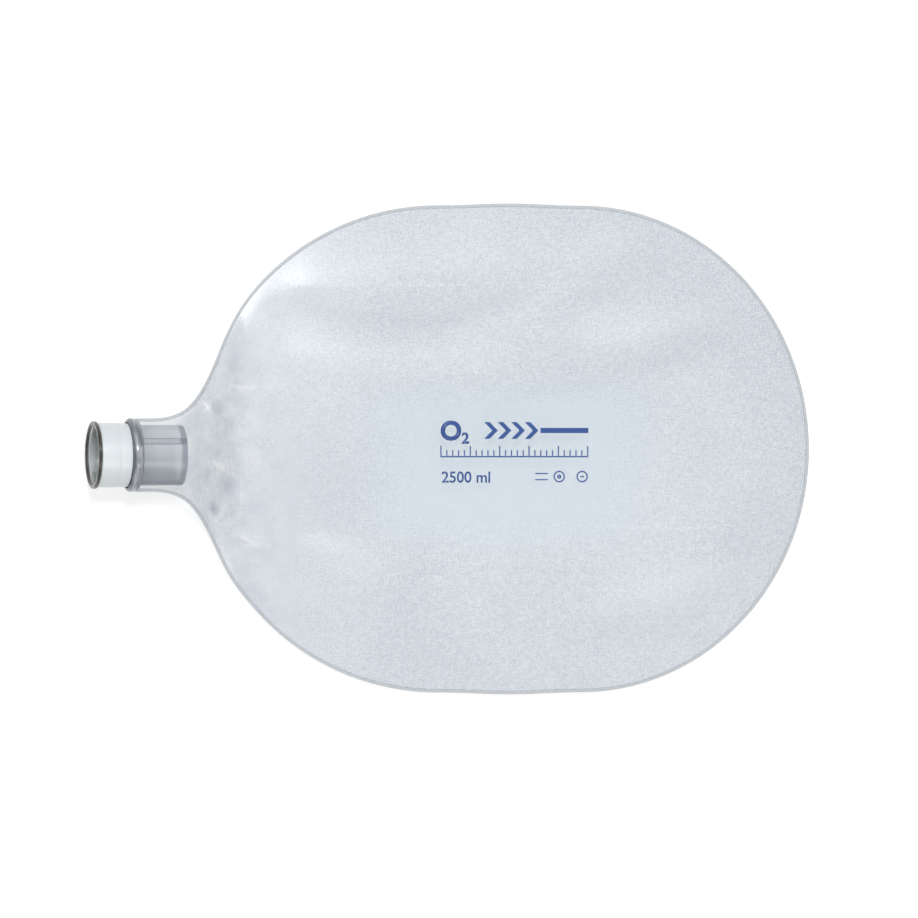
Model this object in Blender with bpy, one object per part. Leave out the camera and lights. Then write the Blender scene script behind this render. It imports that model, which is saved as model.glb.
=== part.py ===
"""Oxygen reservoir bag of a bag valve mask: a welded flat film bag with a rigid mouth connector.

The bag lies on the XY plane. The connector's axis runs along X and its mouth faces -X.
All sizes are in metres.
"""

from math import cos, pi, sin, sqrt

import bmesh
import bpy
import numpy as np
from mathutils import Vector

# Overall size
LENGTH = 0.347
MOUTH_X = -LENGTH / 2
BAG_END_X = LENGTH / 2

# Bag outline: two elliptical ends and a slightly swollen middle
LEFT_CENTRE_X = -0.0049
RIGHT_CENTRE_X = 0.0640
LEFT_REACH = 0.1163
RIGHT_REACH = BAG_END_X - RIGHT_CENTRE_X
END_HALF_WIDTH = 0.1136
MIDDLE_SWELL = 0.0009

# The neck leaves the bag through a concave shoulder, a little off the bag's centre line
NECK_HALF_WIDTH = 0.0170
NECK_STRAIGHT_END = -0.146
SHOULDER_X = -0.110
SHOULDER_TIGHTNESS = 0.8
NECK_OFFSET_Y = -0.0029
OFFSET_FADE_START = -0.118
OFFSET_FADE_END = -0.092

# Films and the weld that joins them
GAP = 0.0003
FILM = 0.0004
WELD_WIDTH = 0.0016
WELD_THICKNESS = 0.0007
EDGE_INSET = WELD_WIDTH + GAP
FILM_STANDOFF = FILM + GAP / 2

# Heights: the weld plane drops from the connector's axis to the table
AXIS_Z = 0.0174
BAG_WELD_Z = 0.0025
FUNNEL_START = -0.131
FUNNEL_END = -0.097
CREASE_CROWN = 0.0030
BAG_CROWN = 0.0075
CROWN_FULL_X = -0.045
FLAT_SHARE = 0.5

# The neck folds where the funnel has gone flat
HINGE_X = -0.0990
HINGE_Z = 0.0066

# Rigid connector, measured from the mouth face along +X, radii from its axis
FLANGE_RADIUS = 0.01575
FLANGE_THICKNESS = 0.0017
MOUTH_RADIUS = 0.0139
BORE_RADIUS = 0.0119
LEAD_IN_DEPTH = 0.0040
FRONT_TUBE_RADIUS = 0.0136
REAR_TUBE_RADIUS = 0.0132
TUBE_STEP = 0.0159
TUBE_LENGTH = 0.0270
EDGE_BREAK = 0.0003

COLLAR_RADIUS = 0.0150
COLLAR_STEP_DEPTH = 0.00015
COLLAR_STEP_AT = 0.0109
COLLAR_END = 0.0162

CUFF_START = 0.0165
CUFF_END = 0.0213
CUFF_RADIUS = 0.01725
CUFF_ROUNDING = 0.0013

LINER_START = 0.0168
LINER_END = 0.0425
LINER_RADIUS = 0.0143

# Fineness of the meshes
MERGE_DISTANCE = 1e-7
ROUND_STEPS = 44
OUTLINE_SAMPLES = 60
ACROSS_STEPS = 8
NECK_TUBE_STEPS = 2
FUNNEL_STEPS = 9
BODY_STEPS = 12
END_STEPS = 10


def remove_everything():
    for leftover in list(bpy.data.objects):
        bpy.data.objects.remove(leftover, do_unlink=True)


def material(name, colour, roughness, transmission=0.0):
    made = bpy.data.materials.new(name)
    made.use_nodes = True
    shader = made.node_tree.nodes["Principled BSDF"]
    shader.inputs["Base Color"].default_value = (*colour, 1.0)
    shader.inputs["Roughness"].default_value = roughness
    shader.inputs["Metallic"].default_value = 0.0
    shader.inputs["Transmission Weight"].default_value = transmission
    return made


def smoothstep(value, start, end):
    t = min(max((value - start) / (end - start), 0.0), 1.0)
    return t * t * (3 - 2 * t)


def mix(a, b, share):
    return a + (b - a) * share


# Outline


def bezier(points, t):
    a, b, c, d = (np.array(point) for point in points)
    u = 1 - t
    return u**3 * a + 3 * u * u * t * b + 3 * u * t * t * c + t**3 * d


def left_half_width(x):
    return END_HALF_WIDTH * sqrt(1 - ((x - LEFT_CENTRE_X) / LEFT_REACH) ** 2)


def shoulder_curve():
    """Concave curve from the straight neck to a tangent point on the bag's left end."""
    top = left_half_width(SHOULDER_X)
    slope = (END_HALF_WIDTH / LEFT_REACH) ** 2 * (LEFT_CENTRE_X - SHOULDER_X) / top
    neck = np.array((NECK_STRAIGHT_END, NECK_HALF_WIDTH))
    shoulder = np.array((SHOULDER_X, top))
    corner = np.array((SHOULDER_X - (top - NECK_HALF_WIDTH) / slope, NECK_HALF_WIDTH))
    handles = [mix(end, corner, SHOULDER_TIGHTNESS) for end in (neck, shoulder)]
    return [bezier((neck, *handles, shoulder), t) for t in np.linspace(0, 1, OUTLINE_SAMPLES)]


def upper_outline():
    """Upper edge from the mouth to the right end's centre, as (x, half width) points."""
    points = [np.array((MOUTH_X, NECK_HALF_WIDTH))]
    points += shoulder_curve()
    for x in np.linspace(SHOULDER_X, LEFT_CENTRE_X, OUTLINE_SAMPLES)[1:]:
        points.append(np.array((x, left_half_width(x))))
    for share in np.linspace(0, 1, OUTLINE_SAMPLES)[1:]:
        x = mix(LEFT_CENTRE_X, RIGHT_CENTRE_X, share)
        points.append(np.array((x, END_HALF_WIDTH + MIDDLE_SWELL * sin(pi * share) ** 2)))
    return np.array(points)


OUTLINE = upper_outline()
OUTLINE_TANGENT = np.gradient(OUTLINE, axis=0)
OUTLINE_TANGENT /= np.linalg.norm(OUTLINE_TANGENT, axis=1)[:, None]
OUTLINE_INWARD = np.column_stack((OUTLINE_TANGENT[:, 1], -OUTLINE_TANGENT[:, 0]))


def half_width(x, inset):
    """Half width at x of the outline moved inwards by inset."""
    moved = OUTLINE + OUTLINE_INWARD * inset
    return float(np.interp(x, moved[:, 0], moved[:, 1]))


def centre_y(x):
    return NECK_OFFSET_Y * (1 - smoothstep(x, OFFSET_FADE_START, OFFSET_FADE_END))


# Heights


def flatness(x):
    """0 where the neck is round, 1 where the bag is flat."""
    return smoothstep(x, FUNNEL_START, FUNNEL_END)


def weld_z(x):
    return mix(AXIS_Z, BAG_WELD_Z, flatness(x))


def front_crown(x):
    round_crown = NECK_HALF_WIDTH - EDGE_INSET - FILM_STANDOFF
    body = mix(CREASE_CROWN, BAG_CROWN, smoothstep(x, FUNNEL_END, CROWN_FULL_X))
    return mix(round_crown, body, flatness(x))


def back_crown(x):
    round_crown = NECK_HALF_WIDTH - EDGE_INSET - FILM_STANDOFF
    return mix(round_crown, BAG_WELD_Z - FILM_STANDOFF, flatness(x))


def section(x, share):
    """Height share across the bag: a half circle in the neck, a flat pillow in the body."""
    round_part = sqrt(max(1 - share * share, 0.0))
    margin = max(0.0, (share - FLAT_SHARE) / (1 - FLAT_SHARE))
    return mix(round_part, 1 - margin * margin, flatness(x))


def front_z(x, share):
    return weld_z(x) + FILM_STANDOFF + front_crown(x) * section(x, share)


def back_z(x, share):
    return weld_z(x) - FILM_STANDOFF - back_crown(x) * section(x, share)


# Ribs: lines from the bag's centre line to its edge, as (station x, root, tip)


def straight_rib(x, side, inset):
    y = centre_y(x)
    return x, Vector((x, y)), Vector((x, y + side * half_width(x, inset)))


def end_rib(angle, inset):
    """Rib of the round right end, from -pi/2 at the lower edge to pi/2 at the upper edge."""
    tip_x = RIGHT_CENTRE_X + (RIGHT_REACH - inset) * cos(angle)
    tip_y = (END_HALF_WIDTH - inset) * sin(angle)
    return RIGHT_CENTRE_X, Vector((RIGHT_CENTRE_X, 0.0)), Vector((tip_x, tip_y))


def neck_stations(first_x):
    tube = np.linspace(first_x, FUNNEL_START, NECK_TUBE_STEPS + 1)[:-1]
    funnel = np.linspace(FUNNEL_START, HINGE_X - GAP / 2, FUNNEL_STEPS + 1)
    return [float(x) for x in (*tube, *funnel)]


def bag_stations():
    return [float(x) for x in np.linspace(HINGE_X + GAP / 2, RIGHT_CENTRE_X, BODY_STEPS + 1)]


def bag_ribs(inset):
    """Ribs once round the bag, along the lower edge, round the end, back along the upper."""
    lower = [straight_rib(x, -1, inset) for x in bag_stations()]
    angles = np.linspace(-pi / 2, pi / 2, 2 * END_STEPS + 1)[1:-1]
    upper = [straight_rib(x, 1, inset) for x in reversed(bag_stations())]
    return lower + [end_rib(float(angle), inset) for angle in angles] + upper


# Mesh helpers


def add_object(name, mesh, finish, origin, parent=None):
    """Object whose mesh is given in world space, with its own origin."""
    for vertex in mesh.vertices:
        vertex.co -= origin
    mesh.materials.append(finish)
    made = bpy.data.objects.new(name, mesh)
    bpy.context.collection.objects.link(made)
    made.parent = parent
    made.location = origin - (parent.location if parent else Vector())
    return made


def finish_mesh(name, shape):
    mesh = bpy.data.meshes.new(name)
    shape.to_mesh(mesh)
    shape.free()
    mesh.shade_smooth()
    mesh.set_sharp_from_angle(angle=0.6)
    return mesh


def face_towards(shape, direction):
    shape.normal_update()
    if sum(face.normal.dot(direction) * face.calc_area() for face in shape.faces) < 0:
        bmesh.ops.reverse_faces(shape, faces=shape.faces[:])


def add_strip(shape, first, second):
    for a, b, c, d in zip(first, second, second[1:], first[1:]):
        shape.faces.new((a, b, c, d))


def film_mesh(name, rib_groups, height, direction):
    """Curved sheet over groups of ribs, with height(station x, share of the half width)."""
    shape = bmesh.new()
    shares = [sin(pi / 2 * step / ACROSS_STEPS) for step in range(ACROSS_STEPS + 1)]
    for ribs in rib_groups:
        rows = []
        for x, root, tip in ribs:
            points = [root.lerp(tip, share) for share in shares]
            heights = [height(x, share) for share in shares]
            rows.append([shape.verts.new((*point, z)) for point, z in zip(points, heights)])
        for first, second in zip(rows, rows[1:]):
            add_strip(shape, first, second)
    bmesh.ops.remove_doubles(shape, verts=shape.verts[:], dist=MERGE_DISTANCE)
    face_towards(shape, direction)
    return finish_mesh(name, shape)


def band_mesh(name, pairs):
    """Flat band between pairs of (inner, outer) points."""
    shape = bmesh.new()
    inner = [shape.verts.new(pair[0]) for pair in pairs]
    outer = [shape.verts.new(pair[1]) for pair in pairs]
    add_strip(shape, inner, outer)
    face_towards(shape, Vector((0, 0, 1)))
    return finish_mesh(name, shape)


def thicken(sheet, thickness, offset):
    solidify = sheet.modifiers.new("film", "SOLIDIFY")
    solidify.thickness = thickness
    solidify.offset = offset
    solidify.use_even_offset = True


def turned_mesh(name, profile):
    """Ring turned about the connector's axis from a closed (distance, radius) profile."""
    shape = bmesh.new()
    centre = Vector((MOUTH_X, NECK_OFFSET_Y, AXIS_Z))
    corners = [shape.verts.new(centre + Vector((d, 0, r))) for d, r in profile]
    edges = [shape.edges.new(pair) for pair in zip(corners, corners[1:] + corners[:1])]
    bmesh.ops.spin(
        shape,
        geom=corners + edges,
        cent=centre,
        axis=(1, 0, 0),
        angle=2 * pi,
        steps=ROUND_STEPS,
        use_merge=True,
    )
    bmesh.ops.recalc_face_normals(shape, faces=shape.faces[:])
    return finish_mesh(name, shape)


def rounded_corner(d, r, turn_d, turn_r, radius, steps=4):
    """Points of a quarter round that leaves along turn_d and arrives along turn_r."""
    points = []
    for step in range(steps + 1):
        angle = pi / 2 * step / steps
        points.append((d + turn_d * radius * (1 - cos(angle)), r + turn_r * radius * (1 - sin(angle))))
    return points


# Sub-parts


def mouth_tube(parent, origin):
    """Clear moulded tube with the mouth flange and a reduced rear end that enters the liner."""
    profile = [
        (0.0, MOUTH_RADIUS),
        (0.0, FLANGE_RADIUS - EDGE_BREAK),
        (EDGE_BREAK, FLANGE_RADIUS),
        (FLANGE_THICKNESS - EDGE_BREAK, FLANGE_RADIUS),
        (FLANGE_THICKNESS, FLANGE_RADIUS - EDGE_BREAK),
        (FLANGE_THICKNESS, FRONT_TUBE_RADIUS),
        (TUBE_STEP, FRONT_TUBE_RADIUS),
        (TUBE_STEP, REAR_TUBE_RADIUS),
        (TUBE_LENGTH - 2 * EDGE_BREAK, REAR_TUBE_RADIUS),
        (TUBE_LENGTH, REAR_TUBE_RADIUS - EDGE_BREAK),
        (TUBE_LENGTH, BORE_RADIUS),
        (LEAD_IN_DEPTH, BORE_RADIUS),
    ]
    clear = material("clear_polysulfone", (0.80, 0.76, 0.70), 0.08, transmission=0.9)
    return add_object("mouth_tube", turned_mesh("mouth_tube", profile), clear, origin, parent)


def collar_ring(parent, origin):
    """White ring that fills the space between the flange and the cuff."""
    inner = FRONT_TUBE_RADIUS + GAP
    start = FLANGE_THICKNESS + GAP
    low = COLLAR_RADIUS - COLLAR_STEP_DEPTH
    profile = [
        (start, inner),
        (start, COLLAR_RADIUS - EDGE_BREAK),
        (start + EDGE_BREAK, COLLAR_RADIUS),
        (COLLAR_STEP_AT, COLLAR_RADIUS),
        (COLLAR_STEP_AT + COLLAR_STEP_DEPTH, low),
        (COLLAR_END - EDGE_BREAK, low),
        (COLLAR_END, low - EDGE_BREAK),
        (COLLAR_END, inner),
    ]
    white = material("white_plastic", (0.88, 0.90, 0.90), 0.35)
    return add_object("collar_ring", turned_mesh("collar_ring", profile), white, origin, parent)


def neck_cuff(parent, origin):
    """Thick soft band with rounded shoulders that clamps the film neck on its liner."""
    inner = NECK_HALF_WIDTH - EDGE_INSET + GAP
    profile = [(CUFF_START, inner)]
    profile += rounded_corner(CUFF_START, CUFF_RADIUS, 1, -1, CUFF_ROUNDING)
    right = rounded_corner(CUFF_END, CUFF_RADIUS, -1, -1, CUFF_ROUNDING)
    profile += reversed(right)
    profile.append((CUFF_END, inner))
    grey = material("grey_soft_pvc", (0.55, 0.58, 0.62), 0.15, transmission=0.4)
    return add_object("neck_cuff", turned_mesh("neck_cuff", profile), grey, origin, parent)


def neck_liner(parent, origin):
    """Stiffer rolled sleeve that keeps the film neck open behind the connector."""
    inner = REAR_TUBE_RADIUS + GAP
    profile = [
        (LINER_START, inner),
        (LINER_START, LINER_RADIUS),
        (LINER_END, LINER_RADIUS),
        (LINER_END, inner),
    ]
    grey = material("grey_liner", (0.62, 0.64, 0.68), 0.25, transmission=0.4)
    return add_object("neck_liner", turned_mesh("neck_liner", profile), grey, origin, parent)


def neck_films(film, parent, origin):
    """Front and back film of the neck, from inside the cuff to the fold."""
    stations = neck_stations(MOUTH_X + LINER_START)
    lower = [straight_rib(x, -1, EDGE_INSET) for x in reversed(stations)]
    upper = [straight_rib(x, 1, EDGE_INSET) for x in stations]
    for name, height, up in (("neck_front_film", front_z, 1), ("neck_back_film", back_z, -1)):
        mesh = film_mesh(name, (lower, upper), height, Vector((0, 0, up)))
        thicken(add_object(name, mesh, film, origin, parent), FILM, -1)


def neck_weld(name, side, finish, parent, origin):
    """Narrow welded margin along one side of the neck."""
    pairs = []
    for x in neck_stations(MOUTH_X + CUFF_END + GAP):
        y = centre_y(x)
        inner = (x, y + side * half_width(x, WELD_WIDTH), weld_z(x))
        outer = (x, y + side * half_width(x, 0), weld_z(x))
        pairs.append((inner, outer))
    thicken(add_object(name, band_mesh(name, pairs), finish, origin, parent), WELD_THICKNESS, 0)


def bag_films(film):
    """Front and back film of the bag's body."""
    ribs = bag_ribs(EDGE_INSET)
    for name, height, up in (("front_film", front_z, 1), ("back_film", back_z, -1)):
        mesh = film_mesh(name, (ribs,), height, Vector((0, 0, up)))
        thicken(add_object(name, mesh, film, Vector()), FILM, -1)


def edge_weld(finish):
    """Welded margin that joins the two films all round the bag."""
    pairs = []
    for inner, outer in zip(bag_ribs(WELD_WIDTH), bag_ribs(0)):
        z = weld_z(inner[0])
        pairs.append(((*inner[2], z), (*outer[2], z)))
    weld = add_object("edge_weld", band_mesh("edge_weld", pairs), finish, Vector())
    thicken(weld, WELD_THICKNESS, 0)


def empty(name, place, parent=None):
    made = bpy.data.objects.new(name, None)
    bpy.context.collection.objects.link(made)
    made.parent = parent
    made.location = place - (parent.location if parent else Vector())
    return made


def build():
    remove_everything()
    film = material("film_pvc", (0.78, 0.81, 0.85), 0.35, transmission=0.6)
    weld = material("weld_pvc", (0.72, 0.76, 0.80), 0.2, transmission=0.6)
    bag_films(film)
    edge_weld(weld)

    hinge = Vector((HINGE_X, 0, HINGE_Z))
    neck_hinge = empty("neck_hinge", hinge)
    neck_films(film, neck_hinge, hinge)
    neck_weld("neck_weld_upper", 1, weld, neck_hinge, hinge)
    neck_weld("neck_weld_lower", -1, weld, neck_hinge, hinge)

    mouth = Vector((MOUTH_X, NECK_OFFSET_Y, AXIS_Z))
    for make in (neck_cuff, neck_liner, mouth_tube, collar_ring):
        make(neck_hinge, mouth)


build()
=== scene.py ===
"""Looks of an oxygen reservoir bag that lies flat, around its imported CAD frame. Metres, Z up."""

from math import cos, pi, radians, sin, sqrt

import bmesh
import bpy
import numpy as np
from mathutils import Matrix, Vector, noise


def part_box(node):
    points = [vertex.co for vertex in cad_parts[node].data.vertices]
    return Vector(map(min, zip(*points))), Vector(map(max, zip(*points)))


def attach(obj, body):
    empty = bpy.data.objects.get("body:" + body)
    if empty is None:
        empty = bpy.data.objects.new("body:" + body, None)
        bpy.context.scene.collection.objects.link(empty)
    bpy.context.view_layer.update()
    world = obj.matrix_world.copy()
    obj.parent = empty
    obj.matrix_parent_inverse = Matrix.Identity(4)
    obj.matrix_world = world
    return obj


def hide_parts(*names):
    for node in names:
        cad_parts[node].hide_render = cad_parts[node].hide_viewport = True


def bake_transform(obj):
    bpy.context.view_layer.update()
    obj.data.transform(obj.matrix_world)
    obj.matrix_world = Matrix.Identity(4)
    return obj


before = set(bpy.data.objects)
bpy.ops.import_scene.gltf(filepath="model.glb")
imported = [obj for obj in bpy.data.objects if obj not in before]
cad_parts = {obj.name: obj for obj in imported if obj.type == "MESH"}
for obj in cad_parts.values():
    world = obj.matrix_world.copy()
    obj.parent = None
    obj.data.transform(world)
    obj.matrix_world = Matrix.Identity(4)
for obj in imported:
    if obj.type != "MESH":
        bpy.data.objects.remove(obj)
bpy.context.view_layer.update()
MM = 0.001

# Places and sizes read from the frame
TUBE_LOW, TUBE_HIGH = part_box("mouth_tube")
COLLAR_LOW, COLLAR_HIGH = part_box("collar_ring")
CUFF_LOW, CUFF_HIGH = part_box("neck_cuff")
LINER_LOW, LINER_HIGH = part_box("neck_liner")
WELD_LOW, WELD_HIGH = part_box("edge_weld")

MOUTH_X = TUBE_LOW.x
BAG_END_X = WELD_HIGH.x
AXIS_Y = (TUBE_LOW.y + TUBE_HIGH.y) / 2
AXIS_Z = (TUBE_LOW.z + TUBE_HIGH.z) / 2
FLANGE_RADIUS = (TUBE_HIGH.z - TUBE_LOW.z) / 2
COLLAR_RADIUS = (COLLAR_HIGH.z - COLLAR_LOW.z) / 2
CUFF_RADIUS = (CUFF_HIGH.z - CUFF_LOW.z) / 2
LINER_RADIUS = (LINER_HIGH.z - LINER_LOW.z) / 2
BAG_WELD_Z = (WELD_LOW.z + WELD_HIGH.z) / 2

# The bag's outline, as in the CAD
LEFT_CENTRE_X = -4.9 * MM
RIGHT_CENTRE_X = 64.0 * MM
LEFT_REACH = 116.3 * MM
RIGHT_REACH = BAG_END_X - RIGHT_CENTRE_X
MIDDLE_SWELL = 0.9 * MM
END_HALF_WIDTH = WELD_HIGH.y - MIDDLE_SWELL
NECK_HALF_WIDTH = 17.0 * MM
NECK_STRAIGHT_END = -146 * MM
SHOULDER_X = -110 * MM
SHOULDER_TIGHTNESS = 0.8
OFFSET_FADE = (-118 * MM, -92 * MM)
WELD_WIDTH = 1.6 * MM

# Films
FILM = 0.25 * MM
STANDOFF = 0.3 * MM
WELD_CLEARANCE = 0.35 * MM
FILM_INSET = 1.35 * MM
FUNNEL_START = LINER_HIGH.x
FUNNEL_END = -97 * MM
CREASE_CROWN = 3.0 * MM
BAG_CROWN = 7.0 * MM
CROWN_FULL_X = -40 * MM
FLAT_SHARE = 0.45

OUTLINE_SAMPLES = 90
NECK_STEPS = 14
FUNNEL_STEPS = 84
BODY_STEPS = 76
END_STEPS = 46
ACROSS_STEPS = 90


# Small helpers


def smoothstep(value, start, end):
    t = np.clip((np.asarray(value, float) - start) / (end - start), 0, 1)
    return t * t * (3 - 2 * t)


def mix(a, b, share):
    return a + (b - a) * share


def link_object(name, mesh, finish=None):
    made = bpy.data.objects.new(name, mesh)
    bpy.context.collection.objects.link(made)
    if finish is not None:
        mesh.materials.append(finish)
    return made


def closed_object(name, points, faces, finish, sharp_angle):
    """Object from a closed surface, with its normals turned outwards and sharp edges kept."""
    mesh = bpy.data.meshes.new(name)
    mesh.from_pydata([tuple(p) for p in points], [], faces)
    mesh.validate()
    shape = bmesh.new()
    shape.from_mesh(mesh)
    bmesh.ops.recalc_face_normals(shape, faces=shape.faces[:])
    shape.to_mesh(mesh)
    shape.free()
    mesh.shade_smooth()
    mesh.set_sharp_from_angle(angle=sharp_angle)
    return link_object(name, mesh, finish)


# Node helpers


class Nodes:
    """A material's node tree, with short calls for the nodes used here."""

    def __init__(self, name):
        self.material = bpy.data.materials.new(name)
        self.material.use_nodes = True
        self.tree = self.material.node_tree
        self.shader = self.tree.nodes["Principled BSDF"]
        self.place = self.new("ShaderNodeTexCoord").outputs["Object"]

    def new(self, kind, **settings):
        node = self.tree.nodes.new(kind)
        for key, value in settings.items():
            setattr(node, key, value)
        return node

    def put(self, value, socket):
        if isinstance(value, bpy.types.NodeSocket):
            self.tree.links.new(value, socket)
        else:
            socket.default_value = value

    def math(self, operation, a, b=0.0, c=0.0, clamp=False):
        node = self.new("ShaderNodeMath", operation=operation, use_clamp=clamp)
        for value, socket in zip((a, b, c), node.inputs):
            self.put(value, socket)
        return node.outputs[0]

    def stretched(self, scale):
        node = self.new("ShaderNodeMapping")
        self.put(self.place, node.inputs["Vector"])
        self.put(scale, node.inputs["Scale"])
        return node.outputs[0]

    def noise(self, scale, detail=2.0, vector=None, roughness=0.5):
        node = self.new("ShaderNodeTexNoise")
        self.put(vector or self.place, node.inputs["Vector"])
        self.put(scale, node.inputs["Scale"])
        self.put(detail, node.inputs["Detail"])
        self.put(roughness, node.inputs["Roughness"])
        return node.outputs["Fac"]

    def span(self, value, low, high, to_low=0.0, to_high=1.0):
        node = self.new("ShaderNodeMapRange", interpolation_type="SMOOTHSTEP")
        for number, socket in zip((value, low, high, to_low, to_high), node.inputs):
            self.put(number, socket)
        return node.outputs[0]

    def attribute(self, name):
        return self.new("ShaderNodeAttribute", attribute_name=name).outputs["Fac"]

    def axes(self):
        node = self.new("ShaderNodeSeparateXYZ")
        self.put(self.place, node.inputs[0])
        return node.outputs

    def colour(self, share, low, high):
        node = self.new("ShaderNodeMix", data_type="RGBA")
        self.put(share, node.inputs["Factor"])
        for value, socket in ((low, node.inputs["A"]), (high, node.inputs["B"])):
            self.put((*value, 1.0) if isinstance(value, tuple) else value, socket)
        return node.outputs["Result"]

    def bump(self, height, distance, strength=1.0, before=None):
        node = self.new("ShaderNodeBump")
        self.put(strength, node.inputs["Strength"])
        self.put(distance, node.inputs["Distance"])
        self.put(height, node.inputs["Height"])
        if before is not None:
            self.put(before, node.inputs["Normal"])
        return node.outputs[0]

    def set(self, **values):
        names = {
            "colour": "Base Color",
            "roughness": "Roughness",
            "alpha": "Alpha",
            "normal": "Normal",
            "ior": "IOR",
            "transmission": "Transmission Weight",
            "coat": "Coat Weight",
            "coat_roughness": "Coat Roughness",
            "specular": "Specular IOR Level",
            "subsurface": "Subsurface Weight",
            "subsurface_scale": "Subsurface Scale",
        }
        for key, value in values.items():
            if key == "colour" and isinstance(value, tuple):
                value = (*value, 1.0)
            self.put(value, self.shader.inputs[names[key]])
        return self.material


# Materials

GRAIN_FADE = (-108 * MM, -22 * MM)
WINDOW_CENTRE = (28 * MM, -6 * MM)
WINDOW_FADE_X = (40 * MM, 84 * MM)
WINDOW_FADE_Y = (19 * MM, 44 * MM)
NECK_PATCH_FADE = (-100 * MM, -60 * MM)


def film_material():
    """Soft film: clear on the neck, milky and embossed on the bag, smooth behind the print. Its colour
    also carries a painted highlight along the creases, painted shade in the neck's hollows and painted
    light and shade on the soft folds.
    """
    n = Nodes("bag_film")
    x, y, _ = n.axes()
    crease_highlight = n.attribute("crease_highlight")
    hollow_shade = n.attribute("hollow_shade")
    fold_light_and_shade = n.attribute("fold_light_and_shade")
    weave_along = n.noise(1700.0, 0.0, n.stretched((0.22, 1.0, 1.0)))
    weave_across = n.noise(1700.0, 0.0, n.stretched((1.0, 0.22, 1.0)))
    speckle = n.noise(2300.0, 0.0)
    weave = n.math("MULTIPLY", n.math("ADD", n.math("ADD", weave_along, weave_across), speckle), 1 / 3)
    cloud = n.noise(13.0, 3.0)
    drift = n.math("MULTIPLY", n.math("SUBTRACT", cloud, 0.5), 0.03)
    grained = n.span(n.math("ADD", x, n.math("MULTIPLY", drift, 2.5)), *GRAIN_FADE)
    off_x = n.math("ABSOLUTE", n.math("SUBTRACT", n.math("ADD", x, drift), WINDOW_CENTRE[0]))
    off_y = n.math("ABSOLUTE", n.math("SUBTRACT", n.math("ADD", y, drift), WINDOW_CENTRE[1]))
    window_x = n.span(off_x, *WINDOW_FADE_X, 1.0, 0.0)
    window_y = n.span(off_y, *WINDOW_FADE_Y, 1.0, 0.0)
    window = n.math("MULTIPLY", window_x, window_y)
    grain = n.math("MULTIPLY", grained, n.math("SUBTRACT", 1.0, n.math("MULTIPLY", window, 0.78)))
    light = n.span(weave, 0.40, 0.60, -0.5, 0.5)
    tone = n.math("ADD", n.span(cloud, 0.3, 0.7, 0.35, 0.65), n.math("MULTIPLY", light, grain))
    milky = n.colour(tone, (0.54, 0.595, 0.655), (0.76, 0.80, 0.84))
    past_neck = n.span(x, LINER_HIGH.x + 6 * MM, LINER_HIGH.x + 34 * MM)
    milky = n.colour(past_neck, (0.56, 0.62, 0.68), milky)
    colour = n.colour(n.math("MULTIPLY", window, 0.6), milky, (0.66, 0.76, 0.84))
    # Painted light on the soft folds' crests, then painted shade in their troughs
    colour = n.colour(n.span(fold_light_and_shade, 0.0, 1.0, 0.0, 0.22), colour, (0.97, 0.98, 0.99))
    colour = n.colour(n.span(fold_light_and_shade, -1.0, 0.0, 0.22, 0.0), colour, (0.34, 0.40, 0.46))
    # Painted shade in the neck's hollows
    colour = n.colour(n.math("MULTIPLY", hollow_shade, 0.7), colour, (0.26, 0.32, 0.38))
    # Painted highlight along the creases
    colour = n.colour(n.math("MULTIPLY", crease_highlight, 0.9), colour, (1.0, 1.0, 0.99))
    haze = n.span(x, LINER_HIGH.x - 6 * MM, LINER_HIGH.x + 8 * MM, 0.13, 0.24)
    haze = n.math("ADD", haze, n.span(x, LINER_HIGH.x + 10 * MM, LINER_HIGH.x + 34 * MM, 0.0, 0.05))
    behind_liner = n.span(x, LINER_HIGH.x, LINER_HIGH.x + 8 * MM)
    loose = n.math("MULTIPLY", behind_liner, n.span(x, *NECK_PATCH_FADE, 1.0, 0.0))
    patch = n.span(n.noise(85.0, 3.0), 0.35, 0.65, -0.07, 0.05)
    haze = n.math("ADD", haze, n.math("MULTIPLY", loose, patch))
    alpha = n.math("ADD", haze, n.math("MULTIPLY", grain, n.span(weave, 0.38, 0.62, 0.0, 0.10)))
    # The painted crease highlight and hollow shade also make the film denser
    alpha = n.math("ADD", alpha, n.math("MULTIPLY", crease_highlight, 0.36))
    alpha = n.math("ADD", alpha, n.math("MULTIPLY", hollow_shade, 0.10), clamp=True)
    roughness = n.span(grain, 0.0, 1.0, 0.22, 0.42)
    normal = n.bump(n.math("MULTIPLY", weave, grain), 0.0003, 0.5)
    return n.set(colour=colour, alpha=alpha, roughness=roughness, normal=normal, ior=1.53)


def weld_material():
    """Fused film: smooth and greyer than the film."""
    n = Nodes("welded_margin")
    wave = n.noise(160.0, 2.0)
    colour = n.colour(wave, (0.33, 0.37, 0.41), (0.41, 0.46, 0.50))
    return n.set(colour=colour, alpha=0.42, roughness=0.25, normal=n.bump(wave, 0.0003, 0.2), ior=1.53)


def rim_material():
    """Cut edge of the weld, where light leaves the film sideways and it looks dark."""
    n = Nodes("weld_rim")
    wave = n.noise(90.0, 2.0)
    colour = n.colour(wave, (0.28, 0.32, 0.36), (0.38, 0.43, 0.47))
    return n.set(colour=colour, alpha=0.45, roughness=0.3, ior=1.53)


def cuff_material():
    """Thick glossy translucent soft plastic, with streaks from its moulding, and painted shade on its
    rounded sides.
    """
    n = Nodes("cuff")
    streaks = n.noise(150.0, 3.0, n.stretched((2.6, 0.6, 0.6)))
    colour = n.colour(n.span(streaks, 0.35, 0.65), (0.27, 0.30, 0.34), (0.66, 0.69, 0.74))
    x = n.axes()[0]
    middle = (CUFF_LOW.x + CUFF_HIGH.x) / 2
    side = n.math("ABSOLUTE", n.math("SUBTRACT", x, middle))
    # Painted shade: darker towards both sides of the rounded band
    colour = n.colour(n.span(side, 1.2 * MM, 2.3 * MM, 0.0, 0.8), colour, (0.17, 0.19, 0.23))
    normal = n.bump(streaks, 0.0010, 0.6)
    return n.set(colour=colour, roughness=0.10, normal=normal, ior=1.5, transmission=0.45)


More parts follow.
